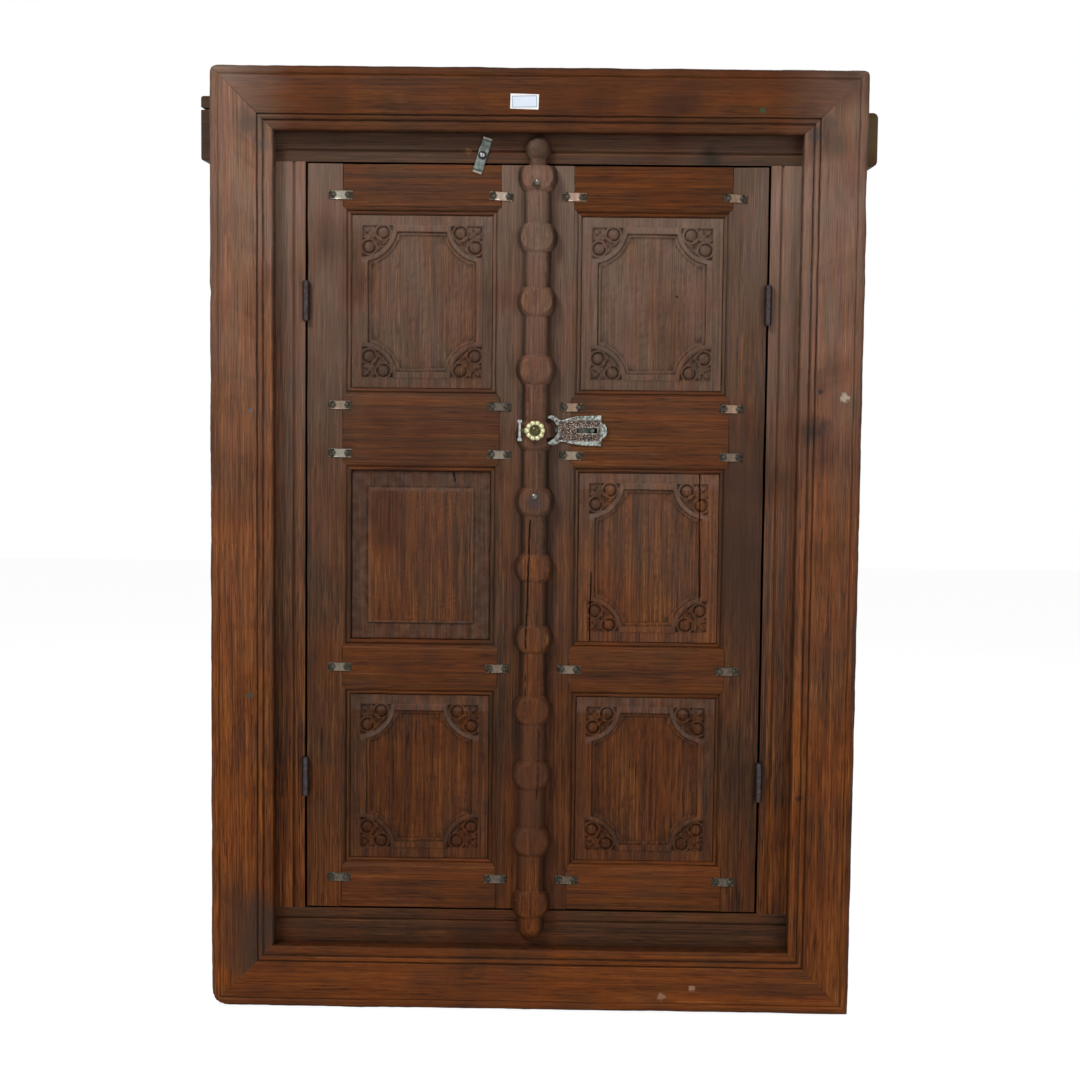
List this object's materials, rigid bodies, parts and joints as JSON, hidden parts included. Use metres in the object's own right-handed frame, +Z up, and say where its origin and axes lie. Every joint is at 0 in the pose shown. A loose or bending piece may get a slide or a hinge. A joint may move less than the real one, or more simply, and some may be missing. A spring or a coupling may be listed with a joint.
{
  "type": "window frame mirror",
  "caption": "Old teak window made into a wall mirror: a wide mitred casing round carved panelled double doors with a turned cover batten, which open on a mirror.",
  "frame": {"origin": "midway between the two wall hangers, on the wall plane at the back of the head beam", "axes": "+X to the viewer's right across the width, +Y into the wall, +Z up; the doors face -Y"},
  "size_m": [0.868, 0.0897, 1.225],
  "materials": {
    "teak_casing": "worn satin",
    "teak_frame": "worn satin",
    "teak_leaf": "worn satin",
    "teak_panel": "worn satin",
    "teak_batten": "worn satin",
    "plain_board": "matt",
    "mirror_glass": "polished",
    "old_brass": "worn",
    "dull_steel": "dull",
    "screw_steel": "plain",
    "dark_iron": "rusty",
    "label_paper": "matt"
  },
  "bodies": {
    "frame": {"casing_top": "teak_casing", "casing_bottom": "teak_casing", "casing_left": "teak_casing", "casing_right": "teak_casing", "head_beam": "teak_frame", "sill_beam": "teak_frame", "left_post": "teak_frame", "right_post": "teak_frame", "mirror_glass": "mirror_glass", "backing_board": "plain_board", "side_glass_stops": "plain_board", "end_glass_stops": "plain_board", "left_wall_hanger": "dull_steel", "right_wall_hanger": "dull_steel", "back_screws": "screw_steel", "post_hinge_screws": "screw_steel", "hinge_pins": "dark_iron", "left_upper_hinge_fixed_flap": "dark_iron", "left_lower_hinge_fixed_flap": "dark_iron", "right_upper_hinge_fixed_flap": "dark_iron", "right_lower_hinge_fixed_flap": "dark_iron", "paper_label": "label_paper", "button_screw": "screw_steel"},
    "left_leaf": {"left_bottom_rail": "teak_leaf", "left_hinge_stile": "teak_leaf", "left_leaf_hinge_screws": "screw_steel", "left_lock_rail": "teak_leaf", "left_lower_hinge_leaf_flap": "dark_iron", "left_lower_panel": "teak_panel", "left_meeting_stile": "teak_leaf", "left_middle_panel": "teak_panel", "left_middle_rail": "teak_leaf", "left_repair_straps": "dull_steel", "left_strap_nails": "dark_iron", "left_top_rail": "teak_leaf", "left_upper_hinge_leaf_flap": "dark_iron", "left_upper_panel": "teak_panel", "cover_batten": "teak_batten", "batten_fixings": "dark_iron", "pull_knob": "old_brass", "knob_crossbar": "dull_steel"},
    "right_leaf": {"right_bottom_rail": "teak_leaf", "right_hinge_stile": "teak_leaf", "right_leaf_hinge_screws": "screw_steel", "right_lock_rail": "teak_leaf", "right_lower_hinge_leaf_flap": "dark_iron", "right_lower_panel": "teak_panel", "right_meeting_stile": "teak_leaf", "right_middle_panel": "teak_panel", "right_middle_rail": "teak_leaf", "right_repair_straps": "dull_steel", "right_strap_nails": "dark_iron", "right_top_rail": "teak_leaf", "right_upper_hinge_leaf_flap": "dark_iron", "right_upper_panel": "teak_panel", "bolt_case": "dark_iron", "bolt_case_nails": "dark_iron"},
    "bolt": {"bolt_bar": "dark_iron"},
    "turn_button": {"turn_button": "dull_steel"}
  },
  "joints": [
    {"name": "left_leaf_hinge", "type": "hinge", "parent": "frame", "child": "left_leaf", "pos_m": [-0.298, -0.0652, -0.53], "axis": [0, 0, -1], "range_deg": [0, 160]},
    {"name": "right_leaf_hinge", "type": "hinge", "parent": "frame", "child": "right_leaf", "pos_m": [0.298, -0.0652, -0.53], "axis": [0, 0, 1], "range_deg": [0, 160]},
    {"name": "bolt_slide", "type": "slide", "parent": "right_leaf", "child": "bolt", "axis": [-1, 0, 0], "range_m": [0, 0.016]},
    {"name": "turn_button_pivot", "type": "hinge", "parent": "frame", "child": "turn_button", "pos_m": [-0.0717, -0.0619, -0.0312], "axis": [0, -1, 0], "continuous": true}
  ],
  "couplings": [
    {"joint": "right_leaf_hinge", "follows": "left_leaf_hinge", "ratio": 1}
  ]
}
